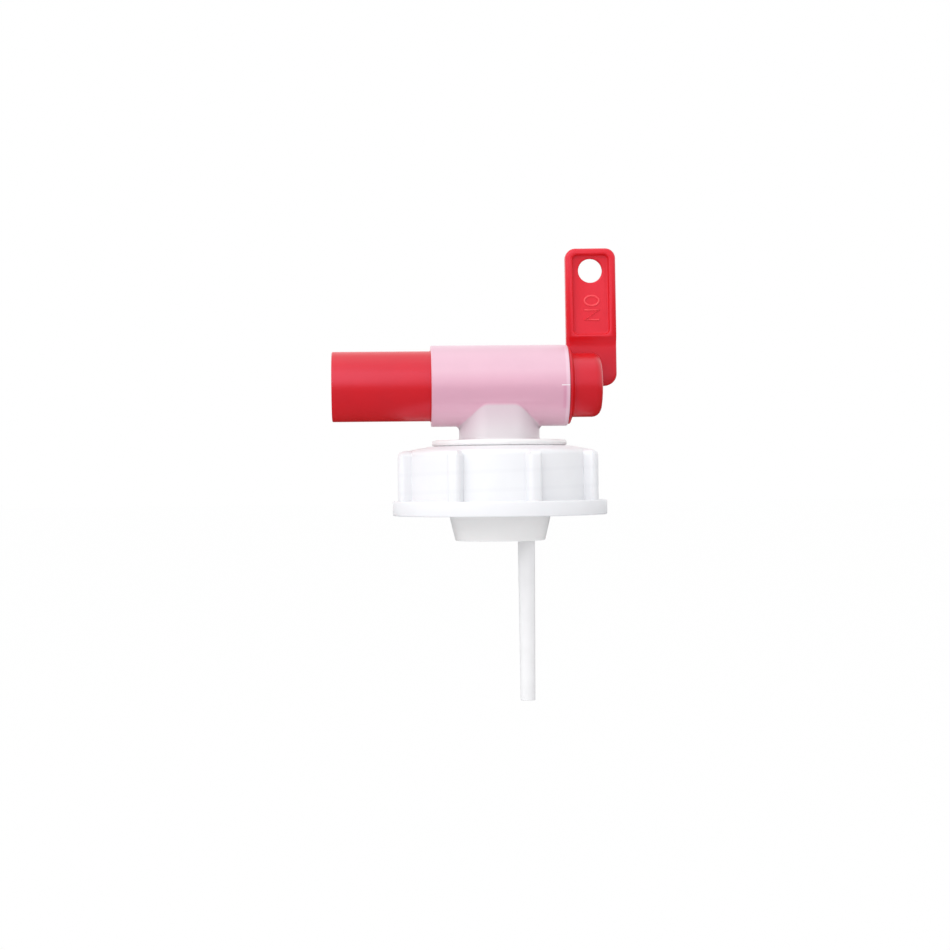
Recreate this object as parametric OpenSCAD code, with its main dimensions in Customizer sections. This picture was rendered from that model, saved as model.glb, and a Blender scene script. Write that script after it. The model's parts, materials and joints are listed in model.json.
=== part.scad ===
// Jerrycan tap: a screw cap, a natural plastic tap body with a horizontal barrel, and a red
// spindle that is spout, plug and lever in one moulding. A vent tube hangs below.
// Millimetres. The origin is on the neck's axis, in the plane where the gasket meets the rim of
// the jerrycan's neck. +Z is up, the spout points to -X and the lever stands at +X.

/* [Barrel] */
// Outside diameter of the barrel
barrel_d = 27; // [26:0.5:32]
// Length of the barrel
barrel_len = 45.4; // [44:0.2:60]
// Height of the barrel's axis over the gasket's underside
axis_h = 26.8; // [26:0.2:40]
// Bevel on the barrel's rims
rim_bevel = 0.2; // [0.2:0.1:0.6]

/* [Neck] */
// Outside diameter of the neck
neck_d = 26.8; // [26:0.2:30]
// Width of the neck across its front and back flats
neck_flats = 24.2; // [22:0.2:25]
// Wall of the neck
neck_wall = 2.2; // [1.6:0.1:3]
// Radius of the edges between the neck's flats and its round sides
neck_edge = 6; // [1:0.5:7]
// Radius of the fillet where the neck meets the barrel
neck_round = 1.6; // [0.6:0.1:3]
// Radius of the fillet at the neck's foot
foot_round = 1; // [0.5:0.1:2]

/* [Seat under the cap] */
// Diameter of the sealing flange
flange_d = 54.8; // [52:0.2:55]
// Thickness of the sealing flange
flange_t = 2.1; // [1.6:0.1:3]
// Diameter of the spigot that the cap turns on
spigot_d = 42.8; // [41:0.2:44]
// How far the lip over the cap reaches past the spigot
lip_reach = 1; // [0.6:0.1:1.4]
// Thickness of the lip over the cap
lip_t = 1.9; // [1.4:0.1:2.6]
// Rounding of the lip's edges
lip_round = 0.6; // [0.2:0.1:0.6]
// Depth of the skirt below the gasket
skirt_depth = 24.7; // [22:0.1:30]
// Outside diameter of the skirt under the gasket
skirt_d = 34; // [33:0.2:36]
// Outside diameter of the skirt at its mouth
skirt_mouth_d = 30.1; // [29:0.1:32]
// Length of the skirt's tapered end
skirt_taper = 8.6; // [5:0.2:14]
// Bore of the skirt
skirt_bore_d = 26; // [24:0.2:27]

/* [Spindle] */
// Outside diameter of the spout
spout_d = 23.3; // [20:0.1:23.3]
// Outside diameter of the plug in the barrel
plug_d = 23.7; // [23.7:0.1:24.2]
// How far the plug reaches out of the barrel on the spout's side
plug_lead = 0.4; // [0.4:0.1:1]
// Wall of the spout
spout_wall = 2.2; // [1.6:0.1:3]
// How far the spout stands out of the barrel
spout_reach = 32.8; // [20:0.2:50]
// Thickness of the wall between the liquid's and the air's side
partition_t = 2; // [1.2:0.2:3]
// Bore for the air, open at the lever's end
air_bore_d = 10; // [7:0.5:11]
// Height of the snap bead that keeps the spindle in the barrel
bead_h = 0.5; // [0.3:0.1:0.7]
// Width of the snap bead
bead_w = 1.6; // [1.2:0.1:2.4]
// Distance from the stop slot to the snap bead
bead_inset = 2; // [1.4:0.1:3]
// Length of the stop slot in the barrel's end
stop_len = 2.4; // [1.6:0.1:3]
// Depth of the stop slot in the barrel's wall
stop_depth = 0.9; // [0.5:0.1:1]
// Width of the stop lug on the spindle, in degrees
stop_lug = 14; // [8:1:30]
// Turn from on to off, in degrees
stop_turn = 90; // [80:5:100]
// Diameter of the collar outside the barrel
collar_d = 25.8; // [24.6:0.2:26]
// Width of the collar's rim
collar_w = 0.8; // [0.5:0.1:1.5]
// Diameter of the boss that carries the lever
boss_d = 21.3; // [20:0.1:23]
// Length of the collar and boss outside the barrel
boss_len = 11.4; // [11:0.2:16]
// Rounding of the boss's outer edge
boss_round = 3; // [1:0.1:3.5]

/* [Lever] */
// Width of the lever
lever_w = 17; // [15:0.1:20]
// Height of the lever's top over the barrel's axis
lever_top = 46.4; // [40:0.2:60]
// Thickness of the lever
lever_t = 5; // [4:0.1:5.6]
// Distance from the barrel's end to the lever's middle, at the axis
lever_out = 9.35; // [9.2:0.05:11]
// Lean of the lever towards the spout
lever_lean = 0.4; // [0:0.1:1.5]
// Radius of the lever's top corners
lever_corner = 3.4; // [2:0.1:5]
// Radius of the lever's bottom corners
lever_heel = 4.2; // [2:0.1:6]
// Rounding of the lever's edges
lever_edge = 0.8; // [0.4:0.1:1]
// Width of the rim around the lever's panels
panel_rim = 2.6; // [2:0.1:4]
// Height of the lever's panels
panel_h = 26.8; // [22:0.2:30]
// Depth of the lever's panels
panel_depth = 1.5; // [0.6:0.1:1.6]
// Radius of the panels' corners
panel_corner = 1.4; // [0.6:0.1:2]
// Diameter of the hole in the lever
hole_d = 8.1; // [6:0.1:9]
// Distance from the lever's top to the hole's middle
hole_down = 7.45; // [7:0.05:9]
// How far the lever's foot is set back from its rim
foot_back = 1.4; // [0.6:0.1:2]
// Radius of the hollow between the lever's rim and its foot
foot_hollow = 4; // [2.4:0.2:6]

/* [Ports] */
// Length of the liquid port
port_len = 11; // [9:0.2:11]
// Width of the liquid port
port_w = 10; // [7:0.2:10]
// Diameter of the air port
air_port_d = 4; // [3:0.2:5]

/* [Cap] */
// Height of the cap
cap_h = 22.85; // [20:0.05:28]
// Diameter of the cap's wall over its band
cap_d = 63.2; // [62.6:0.2:65]
// How much the cap's wall narrows to its shoulder, on the diameter
cap_draft = 0.6; // [0.2:0.1:1]
// Thickness of the cap's top
cap_top_t = 2.35; // [1.8:0.05:3]
// Radius of the cap's shoulder
shoulder_r = 2; // [1:0.2:3]
// Radius of the cap's inner corner
ceiling_r = 1.2; // [0.6:0.1:1.6]
// How much the cap's top falls to its shoulder
crown_fall = 1.4; // [0.2:0.1:1.6]
// Diameter of the band round the cap's mouth
band_d = 71.4; // [70:0.2:76]
// Height of the band
band_h = 4.9; // [3:0.1:7]
// Number of grip ribs
rib_count = 8; // [6:1:12]
// Width of a grip rib
rib_w = 4.8; // [3.6:0.1:6]
// How far a grip rib stands out of the cap's wall
rib_stand = 3.3; // [1:0.1:4]
// Rounding of a grip rib's outer edges
rib_round = 1.4; // [0.4:0.1:1.6]
// Turn of the first rib from +X
rib_turn = 16; // [0:1:44]

/* [Cap thread] */
// Diameter of the thread's root, in the cap's wall
thread_d = 60.2; // [60:0.2:61]
// Height of the thread's ridge
ridge_h = 2.4; // [1.6:0.1:2.5]
// Pitch of the thread
thread_pitch = 6; // [4:0.5:6]
// Turns of the thread
thread_turns = 1.75; // [1:0.25:2]
// Distance from the cap's mouth to the thread's start
thread_lead = 2.6; // [2:0.1:4]
// Width of the ridge's crest
crest_w = 1.1; // [0.8:0.1:1.6]
// Width of the ridge's root
root_w = 2.7; // [2:0.1:3.4]

/* [Gasket and vent tube] */
// Thickness of the gasket
gasket_t = 2; // [1:0.1:3]
// Outside diameter of the vent tube at its top
tube_d = 6; // [5:0.1:6.6]
// Outside diameter of the vent tube at its lower end
tube_end_d = 5.5; // [4.8:0.1:6]
// Bore of the vent tube
tube_bore_d = 3.8; // [2.6:0.1:4]
// Wall round the tube's socket
socket_wall = 1.9; // [1.4:0.1:2.4]
// Thickness of the web between the socket and the skirt
socket_web = 3; // [2:0.2:5]
// How far the vent tube reaches below the gasket
tube_reach = 78.2; // [50:0.2:160]
// Distance of the vent tube from the neck's axis
tube_aside = 8.7; // [8.2:0.1:9]
// Depth of the tube's socket
socket_depth = 10; // [6:0.5:14]
// How far the socket reaches above the gasket
socket_rise = 2; // [1:0.2:5]

/* [Fits] */
// Radial clearance of the spindle in the barrel
run_gap = 0.05; // [0.02:0.01:0.1]
// Clearance round the cap where it turns on the body
swivel_gap = 0.15; // [0.1:0.05:0.3]
// Radial clearance of the vent tube in its socket, and of the gasket on the skirt
push_gap = 0.02; // [0.01:0.01:0.05]

/* [Hidden] */
$fn = 72;
arc_steps = 6;
cut = 1;                      // how far a cutting shape runs past what it cuts
bite = 0.4;                   // how far shapes that are fused reach into each other
small_round = 0.5;            // rounding of small outer edges
small_steps = 3;              // steps in such a rounding
port_margin = 0.2;            // from the partition to the liquid port
crown_land = 1.2;             // flat ring of the cap's top outside the lip
panel_rise = 0.25;            // how far the lever's panels stand above the middle of its rims
foot_land = 0.8;              // height of the rim below the lever's panels

natural_plastic = [0.93, 0.84, 0.88];
red_plastic = [0.85, 0.10, 0.13];
white_plastic = [0.96, 0.96, 0.97];
seal_grey = [0.80, 0.80, 0.78];
tube_white = [0.94, 0.94, 0.95];

barrel_end = barrel_len / 2;
flange_top = gasket_t + flange_t;
cap_ceiling = flange_top + swivel_gap;
cap_top = cap_ceiling + cap_top_t;
cap_bottom = cap_top - cap_h;
lip_bottom = cap_top + swivel_gap;
lip_top = lip_bottom + lip_t;
spigot_r = spigot_d / 2;
bore_r = plug_d / 2 + run_gap;
slot_r = bore_r + stop_depth;
stop_play = 1;                // degrees between the lug and each end of its slot
spout_bore_r = spout_d / 2 - spout_wall;
spout_end = -barrel_end - spout_reach;
plug_start = -barrel_end - plug_lead;

// The air's column stands beside the liquid's way, and the tube's socket is in its foot.
column_r = tube_d / 2 + socket_wall;
socket_top = gasket_t + socket_rise;
socket_bottom = socket_top - socket_depth;

// The partition stands over the gap between the liquid port and the column.
column_left = tube_aside - column_r;
partition_x = column_left - partition_t / 2;
port_right = column_left - partition_t - port_margin;
port_mid = port_right - port_len / 2;

bead_right = barrel_end - stop_len - bead_inset;
bead_left = bead_right - bead_w;
collar_x = barrel_end + swivel_gap;
boss_end = barrel_end + boss_len;

lever_back = boss_d / 2;
lever_front = lever_back - lever_t;
foot_front = lever_front + foot_back;
panel_w = lever_w - 2 * panel_rim;
panel_top = lever_top - panel_rim + panel_rise;
panel_bottom = panel_top - panel_h;
foot_top = panel_bottom - foot_land;
foot_turn = acos(1 - foot_back / foot_hollow);

// Points of an arc about c, from angle a0 to a1.
function arc(c, r, a0, a1, steps = arc_steps) =
    [for (i = [0:steps]) let (a = a0 + (a1 - a0) * i / steps) c + r * [cos(a), sin(a)]];

// A shape made about Z is laid along X, on the barrel's axis.
module on_barrel_axis() translate([0, 0, axis_h]) rotate([0, 90, 0]) children();

// A flat shape drawn in X and Z is given depth along Y, from y0 to y1.
module through_y(y0, y1) translate([0, y1, 0]) rotate([90, 0, 0]) linear_extrude(y1 - y0) children();

// A rectangle between two corners, with a radius for its bottom corners and one for its top ones.
module panel_outline(low, high, bottom_r, top_r) polygon(concat(
    arc([high[0] - bottom_r, low[1] + bottom_r], bottom_r, -90, 0),
    arc([high[0] - top_r, high[1] - top_r], top_r, 0, 90),
    arc([low[0] + top_r, high[1] - top_r], top_r, 90, 180),
    arc([low[0] + bottom_r, low[1] + bottom_r], bottom_r, 180, 270)));

// The liquid port, a slot with round ends that points down from the barrel's axis.
module liquid_port(grow = 0) {
    r = port_w / 2 + grow;
    reach = (port_len - port_w) / 2;
    for (x = [-reach, reach])
        translate([port_mid + x, 0, axis_h - barrel_d]) cylinder(r = r, h = barrel_d);
    translate([port_mid - reach, -r, axis_h - barrel_d]) cube([2 * reach, 2 * r, barrel_d]);
}

// The air port, a round hole that points down from the barrel's axis.
module air_port(bottom) translate([tube_aside, 0, bottom])
    cylinder(d = air_port_d, h = axis_h - bottom);

module barrel_shell() on_barrel_axis() rotate_extrude() polygon([
    [0, -barrel_end], [barrel_d / 2 - rim_bevel, -barrel_end], [barrel_d / 2, -barrel_end + rim_bevel],
    [barrel_d / 2, barrel_end - rim_bevel], [barrel_d / 2 - rim_bevel, barrel_end], [0, barrel_end]]);

// The bore takes the spindle, with a groove for its snap bead.
module barrel_bore() on_barrel_axis() rotate_extrude() polygon([
    [0, -barrel_end - cut], [bore_r, -barrel_end - cut], [bore_r, bead_left - swivel_gap - bead_h],
    [bore_r + bead_h, bead_left - swivel_gap], [bore_r + bead_h, bead_right + swivel_gap],
    [bore_r, bead_right + swivel_gap], [bore_r, barrel_end + cut], [0, barrel_end + cut]]);

// A stretch of a ring about the barrel's axis. Angles count from the bottom, and -90 is the front.
module ring_stretch(r0, r1, x0, x1, a0, a1) on_barrel_axis() translate([0, 0, x0]) rotate(a0)
    rotate_extrude(angle = a1 - a0) translate([r0, 0]) square([r1 - r0, x1 - x0]);

module stop_slot() ring_stretch(bore_r - bite, slot_r, barrel_end - stop_len, barrel_end + cut,
    -90 - stop_play, stop_turn - 90 + stop_lug + stop_play);

module stop_lug() ring_stretch(plug_d / 2 - bite, slot_r - swivel_gap,
    barrel_end - stop_len + swivel_gap, collar_x + collar_w / 2, -90, stop_lug - 90);

module neck_shape(d, flats, z0, z1) intersection() {
    translate([0, 0, z0]) cylinder(d = d, h = z1 - z0);
    translate([-d, -flats / 2, z0]) cube([2 * d, flats, z1 - z0]);
}

// The neck's outline: places on it, each with the direction that points straight out there.
neck_steps = 10;
edge_steps = 4;
edge_mid_r = neck_d / 2 - neck_edge;
flat_turn = asin((neck_flats / 2 - neck_edge) / edge_mid_r);
function facing(a) = [cos(a), sin(a)];
function round_edge(middle, a0, a1) = [for (a = [a0:(a1 - a0) / edge_steps:a1 + 0.01])
    [edge_mid_r * facing(middle) + neck_edge * facing(a), facing(a)]];
neck_rim = [for (side = [0, 180]) each concat(
    [for (i = [1 - neck_steps:2:neck_steps - 1]) let (a = side + flat_turn * i / neck_steps)
        [neck_d / 2 * facing(a), facing(a)]],
    round_edge(side + flat_turn, side + flat_turn, side + 90),
    round_edge(side + 180 - flat_turn, side + 90, side + 180 - flat_turn))];

// The neck widens in a fillet at its foot, and in one that rolls round the barrel at its top.
// Both sink a little into what they meet.
fillet_sink = 0.1;
fillet_steps = 5;
function foot_point(rim, part) = let (
    out = foot_round * (1 - sin(90 * part)),
    plan = rim[0] + out * rim[1])
    [plan[0], plan[1], lip_top - fillet_sink + foot_round * (1 - cos(90 * part))];
function barrel_point(rim, part) = let (
    reach = barrel_d / 2 - fillet_sink + neck_round,
    plan = rim[0] + neck_round * rim[1],
    rise = sqrt(pow(reach, 2) - pow(plan[1], 2)),
    first = [-rim[1][0], -rim[1][1], 0],
    last = [0, -plan[1], rise] / reach,
    turn = acos(first * last))
    [plan[0], plan[1], axis_h - rise]
        + neck_round * (sin((1 - part) * turn) * first + sin(part * turn) * last) / sin(turn);
function sunk_point(rim) = let (p = barrel_point(rim, 1), inner = 0.93)
    [p[0], p[1] * inner, axis_h + (p[2] - axis_h) * inner];

module neck() {
    n = len(neck_rim);
    base = [for (rim = neck_rim) foot_point(rim, 0) - [0, 0, bite]];
    rows = concat([base],
        [for (k = [0:fillet_steps]) [for (rim = neck_rim) foot_point(rim, k / fillet_steps)]],
        [for (k = [0:fillet_steps]) [for (rim = neck_rim) barrel_point(rim, k / fillet_steps)]],
        [[for (rim = neck_rim) sunk_point(rim)]]);
    last = len(rows) - 1;
    points = concat([for (row = rows) each row], [[0, 0, base[0][2]], [0, 0, axis_h - neck_wall]]);
    sides = [for (r = [0:last - 1]) for (i = [0:n - 1]) let (
        a = r * n + i, b = r * n + (i + 1) % n) each [[a, a + n, b + n], [a, b + n, b]]];
    floor_fan = [for (i = [0:n - 1]) [len(points) - 2, i, (i + 1) % n]];
    top_fan = [for (i = [0:n - 1]) [len(points) - 1, last * n + (i + 1) % n, last * n + i]];
    polyhedron(points, concat(sides, floor_fan, top_fan));
}

// Lip, spigot, sealing flange and skirt are one turned shape.
module seat_shell() rotate_extrude() polygon(concat(
    [[0, -skirt_depth]],
    arc([skirt_mouth_d / 2 - small_round, -skirt_depth + small_round], small_round, -90, 0, small_steps),
    [[skirt_d / 2, -skirt_depth + skirt_taper], [skirt_d / 2, gasket_t]],
    [[flange_d / 2, gasket_t], [flange_d / 2, flange_top], [spigot_r, flange_top], [spigot_r, lip_bottom]],
    arc([spigot_r + lip_reach - lip_round, lip_bottom + lip_round], lip_round, -90, 0, 4),
    arc([spigot_r + lip_reach - lip_round, lip_top - lip_round], lip_round, 0, 90, 4),
    [[0, lip_top]]));

// The air's column and the web that ties it to the skirt's wall.
module air_column() translate([tube_aside, 0, socket_bottom]) {
    cylinder(r = column_r, h = axis_h - socket_bottom);
    translate([0, -socket_web / 2, 0])
        cube([skirt_bore_d / 2 + bite - tube_aside, socket_web, axis_h - socket_bottom]);
}

// What the liquid flows through on its way up, with the column and the barrel left standing.
module liquid_way() difference() {
    union() {
        neck_shape(neck_d - 2 * neck_wall, neck_flats - 2 * neck_wall, 0, axis_h);
        translate([0, 0, -skirt_depth - cut]) cylinder(d = skirt_bore_d, h = skirt_depth + cut + flange_top);
    }
    on_barrel_axis() cylinder(d = barrel_d, h = barrel_len, center = true);
    air_column();
}

module tap_body() color(natural_plastic) difference() {
    union() {
        barrel_shell();
        neck();
        seat_shell();
    }
    liquid_way();
    barrel_bore();
    stop_slot();
    liquid_port();
    air_port(socket_top - cut);
    translate([tube_aside, 0, socket_bottom - cut])
        cylinder(r = tube_d / 2 + push_gap, h = socket_top - socket_bottom + cut);
}

// Spout, plug, snap bead, collar and boss are one turned shape.
module spindle_turning() on_barrel_axis() rotate_extrude() polygon(concat(
    [[0, partition_x - partition_t / 2], [spout_bore_r, partition_x - partition_t / 2]],
    [[spout_bore_r, spout_end]],
    arc([spout_d / 2 - small_round, spout_end + small_round], small_round, -90, 0, small_steps),
    [[spout_d / 2, plug_start], [plug_d / 2, plug_start + (plug_d - spout_d) / 2]],
    [[plug_d / 2, bead_left - bead_h], [plug_d / 2 + bead_h, bead_left]],
    [[plug_d / 2 + bead_h, bead_right], [plug_d / 2, bead_right], [plug_d / 2, collar_x]],
    [[collar_d / 2, collar_x], [collar_d / 2, collar_x + collar_w]],
    [[boss_d / 2, collar_x + collar_w + (collar_d - boss_d) / 4]],
    arc([boss_d / 2 - boss_round, boss_end - boss_round], boss_round, 0, 90),
    [[air_bore_d / 2, boss_end], [air_bore_d / 2, partition_x + partition_t / 2]],
    [[0, partition_x + partition_t / 2]]));

// The lever's outline in X and Z, from the barrel's axis up.
module lever_outline() rotate(lever_lean)
    panel_outline([-lever_w / 2, 0], [lever_w / 2, lever_top], lever_heel, lever_corner);

// The lever's side view in Y and Z: a thick grip over a foot that is set back.
module lever_side() polygon(concat(
    [[lever_back, 0], [lever_back, lever_top - lever_edge]],
    arc([lever_back - lever_edge, lever_top - lever_edge], lever_edge, 0, 90),
    arc([lever_front + lever_edge, lever_top - lever_edge], lever_edge, 90, 180),
    arc([foot_front - foot_hollow, foot_top - foot_hollow * sin(foot_turn)], foot_hollow, foot_turn, 0),
    [[foot_front, 0]]));

module lever_blade() translate([barrel_end + lever_out, 0, axis_h]) difference() {
    intersection() {
        through_y(lever_front, lever_back) lever_outline();
        rotate([90, 0, 90]) linear_extrude(2 * lever_w, center = true) lever_side();
    }
    for (y = [[lever_front - cut, lever_front + panel_depth], [lever_back - panel_depth, lever_back + cut]])
        through_y(y[0], y[1]) rotate(lever_lean)
            panel_outline([-panel_w / 2, panel_bottom], [panel_w / 2, panel_top], panel_corner, panel_corner);
    through_y(lever_front - cut, lever_back + cut) rotate(lever_lean)
        translate([0, lever_top - hole_down]) circle(d = hole_d);
}

module spindle() color(red_plastic) difference() {
    union() {
        spindle_turning();
        stop_lug();
        difference() {
            lever_blade();
            on_barrel_axis() translate([0, 0, partition_x]) cylinder(d = air_bore_d, h = boss_end - partition_x);
        }
    }
    liquid_port();
    air_port(axis_h - barrel_d);
}

// The cap without its ribs and thread, turned about the neck's axis.
module cap_shell() {
    band_top = cap_bottom + band_h;
    shoulder_mid_r = (cap_d - cap_draft) / 2 - shoulder_r;
    shoulder_mid_z = cap_top - crown_fall - shoulder_r;
    rotate_extrude() polygon(concat(
        [[thread_d / 2, cap_bottom]],
        arc([band_d / 2 - small_round, cap_bottom + small_round], small_round, -90, 0, small_steps),
        arc([band_d / 2 - small_round, band_top - small_round], small_round, 0, 90, small_steps),
        [[cap_d / 2, band_top]],
        arc([shoulder_mid_r, shoulder_mid_z], shoulder_r, 0, 90),
        [[spigot_r + lip_reach + crown_land, cap_top], [spigot_r + swivel_gap, cap_top]],
        [[spigot_r + swivel_gap, cap_ceiling]],
        arc([thread_d / 2 - ceiling_r, cap_ceiling - ceiling_r], ceiling_r, 90, 0)));
}

// A grip rib is a fin up the cap's side, arched at its top and rounded along its outer edges.
module grip_rib() {
    foot = cap_bottom + band_h - bite;
    top = cap_top - crown_fall - 0.1;
    root_x = cap_d / 2 - shoulder_r - cut;
    crest_x = cap_d / 2 + rib_stand;
    intersection() {
        translate([root_x, 0, 0]) rotate([90, 0, 90]) linear_extrude(crest_x - root_x)
            panel_outline([-rib_w / 2, foot], [rib_w / 2, top], 0.1, rib_w / 2 - 0.05);
        translate([0, 0, foot]) linear_extrude(top - foot) polygon(concat([[root_x, -rib_w]],
            arc([crest_x - rib_round, -rib_w / 2 + rib_round], rib_round, -90, 0),
            arc([crest_x - rib_round, rib_w / 2 - rib_round], rib_round, 0, 90), [[root_x, rib_w]]));
        through_y(-rib_w, rib_w) polygon(concat([[root_x, foot], [crest_x, foot]],
            arc([crest_x - rib_round, top - rib_round], rib_round, 0, 90), [[root_x, top]]));
    }
}

// The thread is a ridge swept up a right-hand helix. Its ends shrink into the wall.
thread_steps = 40;
thread_low = cap_bottom + thread_lead;
function ridge_share(i, n) = min(1, i / 4, (n - i) / 4);
function ridge_ring(i, n) = let (
    a = -90 + 360 * i / thread_steps,
    z = thread_low + root_w / 2 + thread_pitch * i / thread_steps,
    tall = max(0.15, ridge_share(i, n)) * ridge_h,
    wall = thread_d / 2 + bite,
    crest = thread_d / 2 - tall)
    [for (p = [[wall, -root_w / 2], [wall, root_w / 2], [crest, crest_w / 2], [crest, -crest_w / 2]])
        [p[0] * cos(a), p[0] * sin(a), z + p[1]]];
module thread_ridge() {
    n = thread_turns * thread_steps;
    rings = [for (i = [0:n]) ridge_ring(i, n)];
    points = [for (ring = rings) for (p = ring) p];
    sides = [for (i = [0:n - 1]) for (k = [0:3]) let (a = 4 * i + k, b = 4 * i + (k + 1) % 4)
        [a, b, b + 4, a + 4]];
    tris = [for (s = sides) for (t = [[s[0], s[1], s[2]], [s[0], s[2], s[3]]]) t];
    polyhedron(points, concat([[3, 2, 1, 0]], tris, [[4 * n, 4 * n + 1, 4 * n + 2, 4 * n + 3]]));
}

module screw_cap() color(white_plastic) difference() {
    union() {
        cap_shell();
        for (i = [0:rib_count - 1]) rotate(rib_turn + 360 * i / rib_count) grip_rib();
        thread_ridge();
    }
    translate([0, 0, cap_top]) cylinder(r = spigot_r + lip_reach + 1, h = cap_h);
}

module gasket() color(seal_grey) difference() {
    cylinder(d = flange_d, h = gasket_t);
    translate([0, 0, -cut]) cylinder(d = skirt_d + 2 * push_gap, h = gasket_t + 2 * cut);
}

// The vent tube is straight in its socket and narrows to its lower end.
module air_tube() color(tube_white) translate([tube_aside, 0, 0]) difference() {
    union() {
        translate([0, 0, socket_bottom]) cylinder(d = tube_d, h = socket_depth - push_gap);
        translate([0, 0, -tube_reach])
            cylinder(d1 = tube_end_d, d2 = tube_d, h = tube_reach + socket_bottom);
    }
    translate([0, 0, -tube_reach - cut])
        cylinder(d = tube_bore_d, h = tube_reach + socket_top + 2 * cut);
}

tap_body();
spindle();
screw_cap();
gasket();
air_tube();
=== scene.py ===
"""Looks of a jerrycan tap: its moulded pieces and their finishes, the stage and the camera."""

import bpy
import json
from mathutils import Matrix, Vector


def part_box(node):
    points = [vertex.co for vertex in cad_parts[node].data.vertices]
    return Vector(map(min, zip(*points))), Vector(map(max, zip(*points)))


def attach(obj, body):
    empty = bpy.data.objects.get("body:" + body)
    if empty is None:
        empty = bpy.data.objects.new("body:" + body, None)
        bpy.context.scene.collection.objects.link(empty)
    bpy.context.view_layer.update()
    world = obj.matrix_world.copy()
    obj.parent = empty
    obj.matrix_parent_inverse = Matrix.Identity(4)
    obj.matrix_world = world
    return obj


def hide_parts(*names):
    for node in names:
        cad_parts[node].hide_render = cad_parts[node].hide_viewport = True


bl_info = {
    "name": "Jerrycan Tap",
    "version": (1, 0, 0),
    "blender": (4, 5, 0),
    "location": "3D View > Sidebar > Jerrycan Tap",
    "description": "Models the pieces and finishes of a jerrycan tap around its frame",
    "category": "Add Mesh",
}

import json
from math import acos, cos, pi, radians, sin, sqrt, tan

import bmesh
import bpy
from bpy.props import FloatProperty, FloatVectorProperty, IntProperty, PointerProperty
from mathutils import Matrix, Vector

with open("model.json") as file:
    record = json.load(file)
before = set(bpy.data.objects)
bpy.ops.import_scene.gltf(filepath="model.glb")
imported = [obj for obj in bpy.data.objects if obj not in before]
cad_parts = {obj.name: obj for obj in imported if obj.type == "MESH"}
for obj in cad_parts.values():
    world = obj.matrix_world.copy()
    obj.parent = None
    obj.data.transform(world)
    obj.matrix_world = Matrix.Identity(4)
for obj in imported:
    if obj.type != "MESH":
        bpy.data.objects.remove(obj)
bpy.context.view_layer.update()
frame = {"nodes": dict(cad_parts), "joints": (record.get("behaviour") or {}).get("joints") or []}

MM = 0.001
FULL_TURN = 2 * pi
TINY_ROUND = 0.2 * MM
SMALL_ROUND = 0.3 * MM
EDGE_ROUND = 0.5 * MM
INNER_ROUND = 0.6 * MM
MERGE = 0.001 * MM
AXIS_Z = next(j["pos_m"][2] for j in frame["joints"] if j["name"] == "spindle_turn")
CAP_LOW, CAP_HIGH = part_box("screw_cap")
TAP_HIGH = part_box("tap_body")[1]
SPINDLE_LOW, SPINDLE_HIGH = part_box("spindle")
GASKET_LOW, GASKET_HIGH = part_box("gasket")
TUBE_LOW, TUBE_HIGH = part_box("air_tube")


# Settings

def length(name, text, millimetres):
    """A length that the panel shows, with its default in millimetres."""
    return FloatProperty(name=name, description=text, default=millimetres * MM, precision=5, unit="LENGTH")


def colour(name, text, shade):
    """A linear colour that the panel shows."""
    return FloatVectorProperty(name=name, description=text, default=shade, min=0, max=1, subtype="COLOR")


def share(name, text, value):
    """A plain factor that the panel shows."""
    return FloatProperty(name=name, description=text, default=value, min=0, subtype="FACTOR")


class CapSizes(bpy.types.PropertyGroup):
    """Sizes of the screw cap."""
    wall_r: length("Wall radius", "Outer radius of the wall over the band", 31.6)
    shoulder_r: length("Shoulder radius", "Outer radius of the wall under the shoulder", 31.3)
    shoulder_round: length("Shoulder round", "Rounding between the wall and the top", 2.0)
    crown_fall: length("Crown fall", "How much the top falls to the shoulder", 1.4)
    top_thick: length("Top", "Thickness of the top", 2.35)
    ceiling_round: length("Ceiling round", "Radius of the inner corner under the top", 1.2)
    hole_r: length("Hole radius", "Radius of the hole that the tap body turns in", 21.55)
    land_r: length("Land radius", "Radius of the flat land under the tap body's lip", 23.6)
    band_high: length("Band", "Height of the band round the mouth", 4.9)
    rib_wide: length("Rib width", "Width of a grip rib", 4.5)
    rib_stand: length("Rib stand", "How far a grip rib stands out of the wall", 3.6)
    rib_round: length("Rib round", "Rounding of a grip rib's outer edges", 1.7)
    rib_top_round: length("Rib top", "Rounding of a grip rib's top, seen from its side", 2.6)
    rib_count: IntProperty(name="Ribs", description="Number of grip ribs", default=8, min=3)
    rib_turn: FloatProperty(name="First rib", description="Turn of the first rib from +X",
                            default=radians(16), subtype="ANGLE")
    thread_r: length("Thread root", "Radius of the thread's root", 30.1)
    ridge_high: length("Ridge", "Height of the thread's ridge", 2.4)
    ridge_foot: length("Ridge foot", "Width of the ridge at the wall", 2.7)
    ridge_crest: length("Ridge crest", "Width of the ridge's crest", 1.1)
    ridge_round: length("Ridge round", "Rounding of the ridge's crest", 0.35)
    pitch: length("Pitch", "Pitch of the thread", 6.0)
    thread_lead: length("Thread lead", "Distance from the mouth to the thread's start", 2.6)
    thread_turns: FloatProperty(name="Turns", description="Turns of the thread", default=1.75, min=0.5)
    line_drop: length("Thread line", "Drop of the lines that show the thread through the wall", 1.6)


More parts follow.
